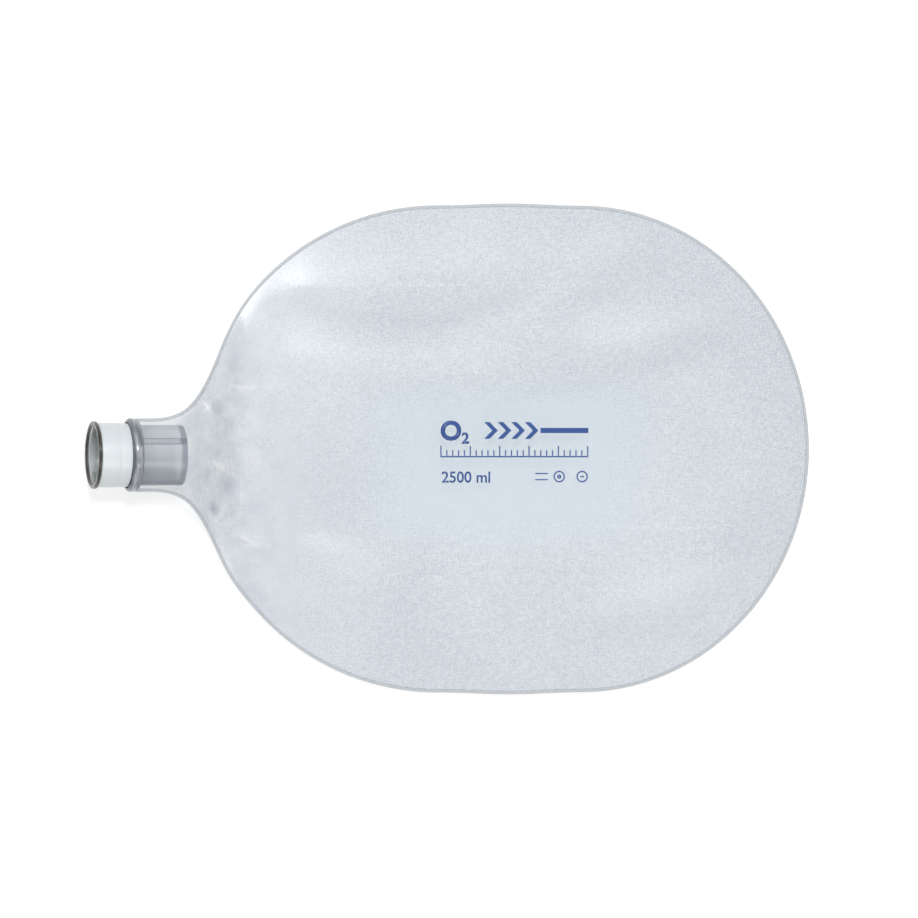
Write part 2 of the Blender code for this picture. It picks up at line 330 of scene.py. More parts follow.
def liner_material():
    """Smoky liner, denser and finely dotted where it overlaps and at its rolled end, with painted shade
    that darkens it towards -Y and along its grazing edge on that side.
    """
    n = Nodes("liner")
    x, y, z = n.axes()
    dots = n.noise(1500.0, 1.0)
    cloud = n.noise(90.0, 3.0)
    upper = n.span(z, AXIS_Z - 3 * MM, AXIS_Z + 3 * MM, 0.15, 1.0)
    end = n.math("MULTIPLY", n.span(x, LINER_HIGH.x - 3.6 * MM, LINER_HIGH.x - 2.0 * MM), upper)
    seam_low = n.span(y, SEAM_Y[0] - 0.1 * MM, SEAM_Y[0] + 0.1 * MM)
    seam_high = n.span(y, SEAM_Y[1] - 0.1 * MM, SEAM_Y[1] + 0.1 * MM, 1.0, 0.0)
    top = n.span(z, AXIS_Z, AXIS_Z + 4 * MM)
    seam = n.math("MULTIPLY", n.math("MULTIPLY", seam_low, seam_high), top)
    off_low = n.math("ABSOLUTE", n.math("SUBTRACT", y, SEAM_Y[0]))
    off_high = n.math("ABSOLUTE", n.math("SUBTRACT", y, SEAM_Y[1]))
    edge_low = n.span(off_low, 0.2 * MM, 0.5 * MM, 1.0, 0.0)
    edge_high = n.span(off_high, 0.1 * MM, 0.4 * MM, 1.0, 0.0)
    edges = n.math("MULTIPLY", n.math("MAXIMUM", edge_low, edge_high), top)
    dotted = n.math("MULTIPLY", seam, n.span(dots, 0.42, 0.60, 0.0, 0.5))
    notch = n.math("MULTIPLY", seam, n.span(x, LINER_HIGH.x - 4.5 * MM, LINER_HIGH.x - 2.5 * MM))
    dense = n.math("MAXIMUM", n.math("MAXIMUM", end, n.math("MULTIPLY", edges, 0.85)), dotted)
    dense = n.math("ADD", n.math("MULTIPLY", dense, 0.8), n.math("MULTIPLY", notch, 0.5), clamp=True)
    # Smoky cloud plus painted shade: the colour darkens towards -Y, the side away from the key light
    painted_shade_across = n.span(y, AXIS_Y - 13 * MM, AXIS_Y + 13 * MM, 0.1, 0.9)
    smoke_and_painted_shade = n.math("ADD", painted_shade_across, n.math("MULTIPLY", cloud, 0.2))
    colour = n.colour(smoke_and_painted_shade, (0.27, 0.29, 0.32), (0.80, 0.83, 0.87))
    colour = n.colour(dense, colour, (0.12, 0.14, 0.19))
    # Darker and denser where the wall is seen edge-on, but only towards -Y: painted shade on the
    # liner's lower edge
    grazing = n.new("ShaderNodeLayerWeight")
    grazing.inputs["Blend"].default_value = 0.5
    low_side_painted_shade = n.span(y, AXIS_Y - 11 * MM, AXIS_Y - 8 * MM, 1.0, 0.25)
    grazing_density_and_painted_shade = n.math("MULTIPLY", n.span(grazing.outputs["Facing"], 0.38, 0.62), low_side_painted_shade)
    colour = n.colour(n.math("MULTIPLY", grazing_density_and_painted_shade, 0.8), colour, (0.10, 0.12, 0.16))
    alpha = n.math("ADD", 0.5, n.math("MULTIPLY", dense, 0.25))
    alpha = n.math("ADD", alpha, n.math("MULTIPLY", grazing_density_and_painted_shade, 0.2), clamp=True)
    normal = n.bump(cloud, 0.0008, 0.3)
    return n.set(colour=colour, alpha=alpha, roughness=0.25, ior=1.53, normal=normal)


def tube_material():
    """Clear hard plastic; its thick flange looks smoky brown."""
    n = Nodes("clear_tube")
    x, y, z = n.axes()
    across = n.math("SUBTRACT", y, AXIS_Y)
    high = n.math("SUBTRACT", z, AXIS_Z)
    square = n.math("ADD", n.math("MULTIPLY", across, across), n.math("MULTIPLY", high, high))
    radius = n.math("SQRT", square)
    near_mouth = n.span(x, MOUTH_X, MOUTH_X + 2 * MM, 1.0, 0.9)
    flange = n.math("MULTIPLY", n.span(radius, 14.3 * MM, 15.2 * MM), near_mouth)
    flow = n.noise(170.0, 3.0, n.stretched((1.0, 0.5, 0.5)))
    colour = n.colour(flange, (0.95, 0.96, 0.96), (0.020, 0.016, 0.013))
    alpha = n.span(flange, 0.0, 1.0, 0.48, 1.0)
    inner = n.span(radius, 12.0 * MM, 12.6 * MM, 1.0, 0.2)
    normal = n.bump(n.math("MULTIPLY", flow, inner), 0.005, 0.8)
    clear = n.span(flange, 0.0, 1.0, 1.0, 0.12)
    n.set(roughness=0.04, transmission=clear, ior=1.58)
    return n.set(colour=colour, alpha=alpha, normal=normal)


def collar_material():
    """Satin white moulded plastic."""
    n = Nodes("white_collar")
    fine = n.noise(700.0, 3.0)
    broad = n.noise(60.0, 2.0, n.stretched((1.0, 0.4, 0.4)))
    colour = n.colour(broad, (0.64, 0.69, 0.71), (0.69, 0.73, 0.75))
    roughness = n.span(fine, 0.3, 0.7, 0.32, 0.38)
    normal = n.bump(fine, 0.00002, 0.2)
    return n.set(colour=colour, roughness=roughness, normal=normal, ior=1.5)


def ink_material():
    """Dark blue screen print, slightly worn."""
    n = Nodes("print_ink")
    wear = n.noise(2600.0, 2.0)
    colour = n.colour(n.span(wear, 0.52, 0.72), (0.022, 0.070, 0.260), (0.070, 0.140, 0.380))
    return n.set(colour=colour, roughness=0.35)


# Outline


def left_half_width(x):
    return END_HALF_WIDTH * sqrt(1 - ((x - LEFT_CENTRE_X) / LEFT_REACH) ** 2)


def shoulder_curve():
    """Concave curve from the straight neck to a tangent point on the bag's left end."""
    top = left_half_width(SHOULDER_X)
    slope = (END_HALF_WIDTH / LEFT_REACH) ** 2 * (LEFT_CENTRE_X - SHOULDER_X) / top
    neck = np.array((NECK_STRAIGHT_END, NECK_HALF_WIDTH))
    shoulder = np.array((SHOULDER_X, top))
    corner = np.array((SHOULDER_X - (top - NECK_HALF_WIDTH) / slope, NECK_HALF_WIDTH))
    first, second = (mix(end, corner, SHOULDER_TIGHTNESS) for end in (neck, shoulder))
    t = np.linspace(0, 1, OUTLINE_SAMPLES)[:, None]
    u = 1 - t
    return u**3 * neck + 3 * u * u * t * first + 3 * u * t * t * second + t**3 * shoulder


def upper_outline():
    """Upper edge from the mouth to the right end's centre, as (x, half width) points."""
    left = np.linspace(SHOULDER_X, LEFT_CENTRE_X, OUTLINE_SAMPLES)[1:]
    middle = np.linspace(0, 1, OUTLINE_SAMPLES)[1:]
    return np.vstack(
        (
            [(MOUTH_X, NECK_HALF_WIDTH)],
            shoulder_curve(),
            [(x, left_half_width(x)) for x in left],
            np.column_stack(
                (
                    mix(LEFT_CENTRE_X, RIGHT_CENTRE_X, middle),
                    END_HALF_WIDTH + MIDDLE_SWELL * np.sin(pi * middle) ** 2,
                )
            ),
        )
    )


OUTLINE = upper_outline()
TANGENT = np.gradient(OUTLINE, axis=0)
TANGENT /= np.linalg.norm(TANGENT, axis=1)[:, None]
INWARD = np.column_stack((TANGENT[:, 1], -TANGENT[:, 0]))


def half_width(x, inset):
    moved = OUTLINE + INWARD * inset
    return np.interp(x, moved[:, 0], moved[:, 1])


def centre_y(x):
    return AXIS_Y * (1 - smoothstep(x, *OFFSET_FADE))


# Heights of the films


def flatness(x):
    """0 where the neck is round, 1 where the bag is flat. It drops fast behind the liner's end."""
    t = np.clip((np.asarray(x, float) - FUNNEL_START) / (FUNNEL_END - FUNNEL_START), 0, 1)
    return 0.55 * t * t * (3 - 2 * t) + 0.45 * (1 - (1 - t) ** 2)


def weld_z(x):
    return mix(AXIS_Z, BAG_WELD_Z, flatness(x))


def round_crown():
    """Radius of the film over the liner, just inside the weld."""
    return NECK_HALF_WIDTH - WELD_WIDTH - STANDOFF - WELD_CLEARANCE


def front_crown(x):
    body = mix(CREASE_CROWN, BAG_CROWN, smoothstep(x, FUNNEL_END, CROWN_FULL_X))
    return mix(round_crown(), body, flatness(x))


def back_crown(x):
    return mix(round_crown(), BAG_WELD_Z - STANDOFF - FILM, flatness(x))


def section(x, share):
    """Height share across the bag: a half circle in the neck, a flat pillow in the body."""
    round_part = np.sqrt(np.clip(1 - share * share, 0, 1))
    margin = np.clip((share - FLAT_SHARE) / (1 - FLAT_SHARE), 0, 1)
    return mix(round_part, 1 - margin * margin, flatness(x))


# Ribs: lines from the bag's centre line to its edge


def stations(first_x):
    neck = np.linspace(first_x, FUNNEL_START, NECK_STEPS + 1)[:-1]
    funnel = np.linspace(FUNNEL_START, FUNNEL_END, FUNNEL_STEPS + 1)[:-1]
    body = np.linspace(FUNNEL_END, RIGHT_CENTRE_X, BODY_STEPS + 1)
    return np.concatenate((neck, funnel, body))


def ribs(first_x, inset):
    """Arrays of station x, root and tip, once round the bag from the neck's lower to its upper side."""
    x = stations(first_x)
    y = centre_y(x)
    width = half_width(x, inset)
    angle = np.linspace(-pi / 2, pi / 2, 2 * END_STEPS + 1)[1:-1]
    end_tip = np.column_stack(
        (
            RIGHT_CENTRE_X + (RIGHT_REACH - inset) * np.cos(angle),
            (END_HALF_WIDTH - inset) * np.sin(angle),
        )
    )
    root = np.column_stack((x, y))
    end_root = np.column_stack((np.full(len(angle), RIGHT_CENTRE_X), np.zeros(len(angle))))
    lower = np.column_stack((x, y - width))
    upper = np.column_stack((x, y + width))
    at = np.concatenate((x, np.full(len(angle), RIGHT_CENTRE_X), x[::-1]))
    roots = np.vstack((root, end_root, root[::-1]))
    tips = np.vstack((lower, end_tip, upper[::-1]))
    return at, roots, tips


# Creases and folds: points in mm, height in mm, width in mm on the gentle side (left of the line's
# direction) and on the steep side, and how bright the painted highlight along the crease is

NECK_FOLDS = (
    (((-122.5, 22.5), (-118.5, 18.8), (-114.8, 13.5)), 2, 3.4, 2, 0.95),
    (((-74, 28), (-92, 28.5), (-104, 28.5), (-108.3, 25.5), (-109.5, 21.5)), 1.5, 5.9, 3.5, 0.52),
    (((-117.5, -3), (-115, -7.3), (-110, -9.8), (-101, -14)), 2, 5.5, 2.2, 0.85),
    (((-124, -2), (-117.5, -8.8), (-113.5, -15.5), (-112.5, -24)), 1.2, 2.3, 1.9, 0.43),
    (((-101, -23.4), (-107.7, -26.4), (-111.3, -30.8), (-113.6, -36)), 1.4, 3.1, 1.9, 0.52),
    (((-98, -33.2), (-107.7, -35), (-114, -35.8)), 1.1, 2.1, 1.9, 0.47),
    (((-113.5, -36.5), (-103, -40), (-96.5, -42.5), (-80, -44)), 1.5, 4.7, 2.4, 0.57),
    (((-102, 18), (-100.8, 10), (-100.3, 1)), 1.1, 3.9, 2.2, 0.38),
    (((-97, 3), (-95, -7), (-97, -15)), 0.9, 4.2, 2.2, 0.33),
    (((-100.3, -12), (-99.6, -23), (-100.2, -34)), 1.1, 3.6, 1.9, 0.43),
    (((-126, 15), (-117, 27), (-108, 42)), 0.9, 2.1, 3.5, 0.28),
    (((-127, -18), (-117, -31), (-108, -46)), 1, 2.9, 2.2, 0.47),
    (((-118, 4), (-104, 5), (-84, 10)), 0.9, 3.4, 4.6, 0.1),
    (((-124, -13), (-119, -20), (-116, -29)), 1, 2.3, 2, 0.47),
)
NECK_HOLLOWS = (
    ((-112, 19), -1.9, 3.6),
    ((-118.5, -12), -1.1, 2.8),
    ((-107, -17), -0.9, 3.5),
    ((-114.3, -28), -1.4, 3.0),
    ((-106, 12), -0.8, 4.0),
    ((-113, -3), -0.7, 3.0),
    ((-104, -30), -0.8, 2.4),
    ((-103, 38), -0.6, 5.0),
)
SOFT_FOLDS = (
    (((-88, 82), (-20, 86), (38, 94)), 1.5, 12, 12, 0),
    (((-98, 68), (-54, 60), (-8, 58), (31, 70), (52, 86)), -1.3, 8, 8, 0),
    (((-84, 42), (-50, 42), (-8, 40), (38, 45)), 1.8, 9, 9, 0),
    (((56, 48), (96, 55), (138, 70)), 1.5, 8, 8, 0),
    (((55, 88), (75, 98), (98, 97)), 1.1, 10, 10, 0),
    (((48, 63), (108, 84)), -1.1, 8, 8, 0),
    (((66, 37), (104, 40), (144, 55)), -1.1, 9, 9, 0),
    (((22, 25.5), (78, 27.5)), -0.7, 5, 5, 0),
    (((-76, -46), (-24, -55)), 1.6, 9, 9, 0),
    (((-80, -63), (-60, -65)), 1.0, 7, 7, 0),
    (((-108, -55), (-84, -74)), -0.9, 7, 7, 0),
    (((50, -75), (100, -66), (146, -54)), 1.3, 10, 10, 0),
    (((60, -92), (105, -84), (138, -66)), -0.9, 8, 8, 0),
    (((110, 20), (125, 0), (118, -30)), -0.7, 14, 14, 0),
)
PACKING_FOLDS = (
    (((-84, 76), (30, 76.3), (141, 75)), 0.22, 0.8, 0.8, 0.35),
    (((70, -36.5), (110, -37), (148, -36.3)), 0.22, 0.8, 0.8, 0.35),
    (((46, 111), (46.3, 92), (45.6, 74)), 0.20, 0.8, 0.8, 0.4),
    (((45.8, 40), (45.4, 26)), 0.16, 0.8, 0.8, 0.35),
    (((45.5, -70), (46.5, -84), (46, -100)), 0.20, 0.8, 0.8, 0.45),
    (((13, 43), (9, 31)), 0.18, 1.0, 1.0, 0.35),
    (((14, -66), (9, -89)), 0.18, 1.0, 1.0, 0.4),
)


def distance_to(points, line, left_width, right_width):
    """Distance of each point from a polyline in that side's widths, and where along it, from 0 to 1."""
    best = np.full(len(points), 1e9)
    side = np.zeros(len(points))
    along = np.zeros(len(points))
    line = np.array(line, float)
    for number, (a, b) in enumerate(zip(line, line[1:])):
        step = b - a
        t = np.clip(((points - a) @ step) / (step @ step), 0, 1)
        gap = np.linalg.norm(points - (a + t[:, None] * step), axis=1)
        closer = gap < best
        best[closer] = gap[closer]
        along[closer] = (number + t[closer]) / (len(line) - 1)
        across = (points - a) @ np.array((-step[1], step[0])) / np.linalg.norm(step)
        side[closer] = across[closer]
    left = 0.5 + 0.5 * np.tanh(side / 0.5)
    return best / mix(right_width, left_width, left), along


def fold_heights(points, folds, sharpness=1.25):
    heights = np.zeros(len(points))
    for line, height, left, right, _ in folds:
        gap, along = distance_to(points, line, left, right)
        fade = np.sin(pi * np.clip(along, 0.02, 0.98)) ** 0.6
        heights += height * fade * np.exp(-(gap**sharpness))
    return heights


def crease_highlight_strength(points):
    """Strength of the painted highlight along the creases, 0 to 1: most along their middle, and
    unevenly.
    """
    painted_highlight = np.zeros(len(points))
    for line, _, left, right, strength in NECK_FOLDS + PACKING_FOLDS:
        gap, along = distance_to(points, line, 0.7 * left, 0.45 * right)
        fade = np.sin(pi * np.clip(along, 0, 1)) ** 0.8
        painted_highlight = np.maximum(painted_highlight, strength * fade * np.exp(-(gap**1.6)))
    for i in np.flatnonzero(painted_highlight > 0.02):
        uneven = 0.5 + noise.noise(Vector((points[i, 0] / 5, points[i, 1] / 5, 3.1)))
        painted_highlight[i] *= float(smoothstep(uneven, -0.3, 0.7))
    return painted_highlight


def painted_fold_light_and_shade(points):
    """Painted light and shade of the soft folds, by where a point lies in them: 1 on a crest, painted
    light; 0 between them; -1 in a trough, painted shade.
    """
    return np.clip(fold_heights(points, SOFT_FOLDS, 2.0) / 1.6, -1, 1)


def hollow_shade_strength(points):
    """How deep a point lies in the neck's hollows, from 0 to 1; it sets the painted shade in them."""
    return np.clip(-hollow_heights(points, NECK_HOLLOWS) / 1.4, 0, 1)


def hollow_heights(points, hollows):
    heights = np.zeros(len(points))
    for centre, depth, width in hollows:
        gap = np.linalg.norm(points - np.array(centre, float), axis=1)
        heights += depth * np.exp(-((gap / width) ** 2))
    return heights


def fan_folds(seed, count):
    """Small creases that fan out from the liner's end."""
    draw = np.random.default_rng(seed)
    made = []
    for _ in range(count):
        angle = radians(draw.uniform(-68, 68))
        near = draw.uniform(8, 22)
        length = draw.uniform(8, 24)
        bend = radians(draw.uniform(-14, 14))
        start = np.array((LINER_HIGH.x / MM - 4, AXIS_Y / MM))
        start = start + near * np.array((cos(angle), 1.3 * sin(angle)))
        finish = start + length * np.array((cos(angle + bend), sin(angle + bend)))
        height = draw.uniform(-0.7, 0.7)
        left, right = draw.uniform(2.0, 4.0), draw.uniform(1.2, 2.2)
        made.append(((tuple(start), tuple(finish)), height, left, right, 0))
    return tuple(made)


def crumple(flat, seed):
    """Small sharp wrinkles, in mm, that run out from the liner's end and fade into the bag."""
    start = np.array((LINER_HIGH.x / MM - 6, AXIS_Y / MM))
    away = np.linalg.norm(flat - start, axis=1)
    turn = np.arctan2(flat[:, 1] - start[1], flat[:, 0] - start[0])
    strength = smoothstep(flat[:, 0], -131, -122) * (1 - smoothstep(away, 30, 78))
    heights = np.zeros(len(flat))
    for i in np.flatnonzero(strength > 0):
        broad = noise.noise(Vector((away[i] / 26, turn[i] * 2.4, seed)))
        fine = noise.noise(Vector((away[i] / 13, turn[i] * 5.0, seed + 5)))
        heights[i] = 1.5 * (0.25 - abs(broad)) + 0.6 * (0.22 - abs(fine))
    return heights * strength


def film_heights(front, x, share, flat):
    """World z of a film at station x and share of the half width; flat holds x and y in mm."""
    crown = front_crown(x) if front else back_crown(x)
    height = STANDOFF + crown * section(x, share)
    away = 1 - smoothstep(share, 0.72, 0.99)
    loose = smoothstep(flat[:, 0], LINER_HIGH.x / MM - 1, LINER_HIGH.x / MM + 8)
    if front:
        detail = fold_heights(flat, NECK_FOLDS) + hollow_heights(flat, NECK_HOLLOWS)
        detail += fold_heights(flat, fan_folds(7, 10)) + crumple(flat, 2.7)
        detail += fold_heights(flat, PACKING_FOLDS, 1.6)
        detail += fold_heights(flat, SOFT_FOLDS, 2.0) * smoothstep(flat[:, 0], -100, -70)
    else:
        detail = fold_heights(flat, fan_folds(11, 12)) + crumple(flat, 8.1)
        detail *= 1 - smoothstep(flat[:, 0], -108, -92)
    height += detail * MM * away * loose
    return weld_z(x) + height if front else weld_z(x) - height


def film_grid(front, first_x):
    """Points and faces of one film over its ribs."""
    at, roots, tips = ribs(first_x, FILM_INSET)
    u = np.linspace(0, 1, ACROSS_STEPS + 1)
    flat_share = flatness(at)[:, None]
    share = mix(np.sin(pi / 2 * u)[None, :], (1 - (1 - u) ** 1.25)[None, :], flat_share)
    place = roots[:, None, :] + (tips - roots)[:, None, :] * share[:, :, None]
    flat = place.reshape(-1, 2)
    x = np.repeat(at, len(u))
    z = film_heights(front, x, share.ravel(), flat / MM)
    points = np.column_stack((flat, z))
    columns = len(u)
    faces = []
    for row in range(len(at) - 1):
        for step in range(columns - 1):
            a = row * columns + step
            quad = (a, a + 1, a + columns + 1, a + columns)
            faces.append(quad if front else quad[::-1])
    return points, faces


def make_film(name, front, finish, first_x):
    points, faces = film_grid(front, first_x)
    shape = bmesh.new()
    # Vertex layers of painted light: a highlight along the creases, shade in the neck's hollows, light
    # and shade on the soft folds
    painted_highlight = shape.verts.layers.float.new("crease_highlight")
    hollow_shade_layer = shape.verts.layers.float.new("hollow_shade")
    fold_light_layer = shape.verts.layers.float.new("fold_light_and_shade")
    made = [shape.verts.new(p) for p in points]
    if front:
        crease_highlights = crease_highlight_strength(points[:, :2] / MM)
        hollows = hollow_shade_strength(points[:, :2] / MM)
        fold_light_and_shade_values = painted_fold_light_and_shade(points[:, :2] / MM)
        for vertex, crease_highlight, hollow_shade, fold_light_and_shade in zip(made, crease_highlights, hollows, fold_light_and_shade_values):
            vertex[painted_highlight] = crease_highlight
            vertex[hollow_shade_layer] = hollow_shade
            vertex[fold_light_layer] = fold_light_and_shade
    for face in faces:
        shape.faces.new([made[i] for i in face])
    bmesh.ops.remove_doubles(shape, verts=shape.verts[:], dist=1e-6)
    shape.normal_update()
    total = sum(face.normal.z * face.calc_area() for face in shape.faces)
    if (total > 0) != front:
        bmesh.ops.reverse_faces(shape, faces=shape.faces[:])
    mesh = bpy.data.meshes.new(name)
    shape.to_mesh(mesh)
    shape.free()
    mesh.shade_smooth()
    film = link_object(name, mesh, finish)
    thickness = film.modifiers.new("thickness", "SOLIDIFY")
    thickness.thickness = FILM
    thickness.offset = -1
    return film


# Welded margin: its upper profile as (inset from the edge, height over the weld plane) in mm
WELD_PROFILE = (
    (0.0, 0.08),
    (0.10, 0.20),
    (0.40, 0.30),
    (0.7, 0.32),
    (1.0, 0.31),
    (1.2, 0.35),
    (1.4, 0.33),
    (1.5, 0.15),
)
RIM_LOOPS = 2


def make_weld(finish, rim_finish, first_x):
    """Closed band all round the outline, with a dark rounded rim and a low bead on its inner edge."""
    profile = [(inset * MM, z * MM) for inset, z in WELD_PROFILE]
    profile += [(inset, -z) for inset, z in reversed(profile)]
    loops = []
    for inset, z in profile:
        at, _, tips = ribs(first_x, inset)
        loops.append(np.column_stack((tips, weld_z(at) + z)))
    grid = np.array(loops)
    around, along = grid.shape[:2]
    shape = bmesh.new()
    made = [shape.verts.new(p) for p in grid.reshape(-1, 3)]
    for i in range(around):
        k = (i + 1) % around
        in_rim = i < RIM_LOOPS or i >= around - RIM_LOOPS - 1
        for j in range(along - 1):
            first, second = i * along + j, k * along + j
            corners = (first, second, second + 1, first + 1)
            face = shape.faces.new([made[corner] for corner in corners])
            face.material_index = int(in_rim)
    shape.faces.new([made[i * along] for i in range(around)])
    shape.faces.new([made[i * along + along - 1] for i in range(around)])
    bmesh.ops.recalc_face_normals(shape, faces=shape.faces[:])
    mesh = bpy.data.meshes.new("weld_margin")
    shape.to_mesh(mesh)
    shape.free()
    mesh.shade_smooth()
    mesh.set_sharp_from_angle(angle=0.9)
    weld = link_object("weld_margin", mesh, finish)
    mesh.materials.append(rim_finish)
    return weld


# Turned pieces round the connector's axis


def turned(name, profile, finish, steps=144, wobble=None):
    """Ring from a closed (distance from the mouth, radius) profile, with an optional radius change."""
    profile = np.array(profile, float)
    angles = np.linspace(0, 2 * pi, steps, endpoint=False)
    count = len(profile)
    points = []
    for angle in angles:
        for d, r in profile:
            radius = r + (wobble(d, r, angle) if wobble else 0.0)
            points.append((MOUTH_X + d, AXIS_Y + radius * sin(angle), AXIS_Z + radius * cos(angle)))
    faces = []
    for i in range(steps):
        for j in range(count):
            a, b = i * count + j, i * count + (j + 1) % count
            c, d = ((i + 1) % steps) * count + (j + 1) % count, ((i + 1) % steps) * count + j
            faces.append((a, b, c, d))
    return closed_object(name, points, faces, finish, 0.7)


def rounded(points, radius, steps=4):
    """The closed profile with each corner cut by an arc of about that radius."""
    points = np.array(points, float)
    count = len(points)
    made = []
    for i in range(count):
        before, here, after = points[i - 1], points[i], points[(i + 1) % count]
        back, on = before - here, after - here
        reach = min(radius, np.linalg.norm(back) * 0.45, np.linalg.norm(on) * 0.45)
        start = here + back / np.linalg.norm(back) * reach
        end = here + on / np.linalg.norm(on) * reach
        for step in range(steps + 1):
            t = step / steps
            made.append((1 - t) ** 2 * start + 2 * t * (1 - t) * here + t * t * end)
    return made


# Sizes of the connector that its boxes do not give, measured from the mouth and from the axis
MOUTH_RADIUS = 13.9 * MM
BORE_RADIUS = 11.9 * MM
FRONT_TUBE_RADIUS = 13.6 * MM
REAR_TUBE_RADIUS = 13.2 * MM
TUBE_STEP = 15.9 * MM
FLANGE_THICKNESS = 1.7 * MM
LEAD_IN_DEPTH = 4 * MM
COLLAR_BORE_RADIUS = 13.9 * MM
COLLAR_GROOVE = 10.9 * MM
CUFF_BORE_RADIUS = 15.35 * MM


def make_mouth_tube(finish):
    """Clear tube with a flange of two beads and an uneven bore."""
    length = TUBE_HIGH.x - TUBE_LOW.x
    profile = [
        (0, MOUTH_RADIUS),
        (0, FLANGE_RADIUS - 0.25 * MM),
        (0.3 * MM, FLANGE_RADIUS),
        (0.75 * MM, FLANGE_RADIUS),
        (0.95 * MM, FLANGE_RADIUS - 0.3 * MM),
        (1.15 * MM, FLANGE_RADIUS),
        (1.5 * MM, FLANGE_RADIUS),
        (FLANGE_THICKNESS, FLANGE_RADIUS - 0.3 * MM),
        (FLANGE_THICKNESS, FRONT_TUBE_RADIUS),
        (TUBE_STEP, FRONT_TUBE_RADIUS),
        (TUBE_STEP, REAR_TUBE_RADIUS),
        (length, REAR_TUBE_RADIUS),
        (length, BORE_RADIUS),
        (LEAD_IN_DEPTH, BORE_RADIUS),
    ]
    corner_steps = 4
    shape = rounded(profile, 0.3 * MM, corner_steps)
    bore = [(d, BORE_RADIUS) for d in np.linspace(length - 0.6 * MM, 4.6 * MM, 26)]
    last_corner = len(shape) - corner_steps - 1

    def flow(d, r, angle):
        """Unevenness of the moulded inner wall."""
        if r > BORE_RADIUS + 0.1 * MM:
            return 0.0
        broad = noise.noise(Vector((d * 210, 2.6 * sin(angle), 2.6 * cos(angle))))
        fine = noise.noise(Vector((d * 420, 6.0 * sin(angle), 6.0 * cos(angle))))
        return (0.45 * broad + 0.2 * fine) * MM

    shape = shape[:last_corner] + bore + shape[last_corner:]
    return turned("clear_mouth_tube", shape, finish, wobble=flow)


def make_collar(finish):
    """Ring with a fine groove, slightly lower behind it."""
    start, end = COLLAR_LOW.x - MOUTH_X, COLLAR_HIGH.x - MOUTH_X
    low = COLLAR_RADIUS - 0.18 * MM
    profile = [
        (start, COLLAR_BORE_RADIUS),
        (start, COLLAR_RADIUS),
        (COLLAR_GROOVE - 0.35 * MM, COLLAR_RADIUS),
        (COLLAR_GROOVE - 0.1 * MM, COLLAR_RADIUS - 0.32 * MM),
        (COLLAR_GROOVE + 0.15 * MM, low),
        (end, low),
        (end, COLLAR_BORE_RADIUS),
    ]
    return turned("white_collar", rounded(profile, 0.25 * MM), finish)


def make_cuff(finish):
    """Soft band with two swellings and the slight crumples of a stretched film hem."""
    start, end = CUFF_LOW.x - MOUTH_X, CUFF_HIGH.x - MOUTH_X
    inner = CUFF_BORE_RADIUS
    top = CUFF_RADIUS - 0.12 * MM
    profile = [
        (start, inner),
        (start, top - 1.2 * MM),
        (start + 0.7 * MM, top - 0.15 * MM),
        (start + 1.9 * MM, top),
        (start + 2.9 * MM, top - 0.05 * MM),
        (start + 3.4 * MM, top - 0.42 * MM),
        (start + 3.9 * MM, top - 0.1 * MM),
        (end - 0.4 * MM, top - 0.25 * MM),
        (end, top - 1.1 * MM),
        (end, inner),
    ]

    def uneven(d, r, angle):
        if r < inner + 0.5 * MM:
            return 0.0
        place = Vector((d * 260, 2.2 * sin(angle), 2.2 * cos(angle)))
        fine = Vector((d * 500, 6 * sin(angle), 6 * cos(angle)))
        return 0.13 * MM * noise.noise(place) + 0.06 * MM * noise.noise(fine)

    return turned("cuff_band", rounded(profile, 0.5 * MM, 3), finish, 200, uneven)


SEAM_Y = (AXIS_Y + 5.2 * MM, AXIS_Y + 7.7 * MM)


def make_liner(finish):
    """Sheet rolled once round with an overlap, thicker at its far end."""
    start, end = LINER_LOW.x, LINER_HIGH.x
    mid = (SEAM_Y[0] + SEAM_Y[1]) / 2 - AXIS_Y
    seam = np.arcsin(mid / LINER_RADIUS)
    half = (SEAM_Y[1] - SEAM_Y[0]) / 2 / LINER_RADIUS
    angles = seam - half + np.linspace(0, 1, 150) * (2 * pi + 2 * half)
    wall = 0.22 * MM
    thin = LINER_RADIUS - 2 * wall - 0.05 * MM
    lift = (wall + 0.04 * MM) * smoothstep(angles, 2 * pi + seam - 5 * half, 2 * pi + seam - 1.2 * half)
    radius = thin + lift
    xs = np.concatenate((np.linspace(start, end - 2.6 * MM, 14), np.linspace(end - 2.2 * MM, end, 8)))
    loops = []
    for x in xs:
        swell = 0.10 * MM * float(smoothstep(x, end - 2.7 * MM, end - 2.1 * MM))
        nose = 0.16 * MM * float(smoothstep(x, end - 0.5 * MM, end))
        outer = radius + wall + swell - nose
        inner = radius - swell + nose
        around = (*zip(outer, angles), *zip(inner[::-1], angles[::-1]))
        loops.append([(x, AXIS_Y + r * sin(a), AXIS_Z + r * cos(a)) for r, a in around])
    count = len(loops[0])
    points = [p for loop in loops for p in loop]
    faces = []
    for i in range(len(xs) - 1):
        for j in range(count):
            k = (j + 1) % count
            faces.append((i * count + j, i * count + k, (i + 1) * count + k, (i + 1) * count + j))
    last = (len(xs) - 1) * count
    for j in range(len(angles) - 1):
        other = count - 1 - j
        faces.append((j, other, other - 1, j + 1))
        faces.append((last + j, last + j + 1, last + other - 1, last + other))
    return closed_object("rolled_liner", points, faces, finish, 0.8)


# Printed marks on the front film

PRINT_LEFT = -5.5
PRINT_RIGHT = 65.5
INK_LIFT = 0.07 * MM
INK = 0.04 * MM
CUT_EVERY = 3.0


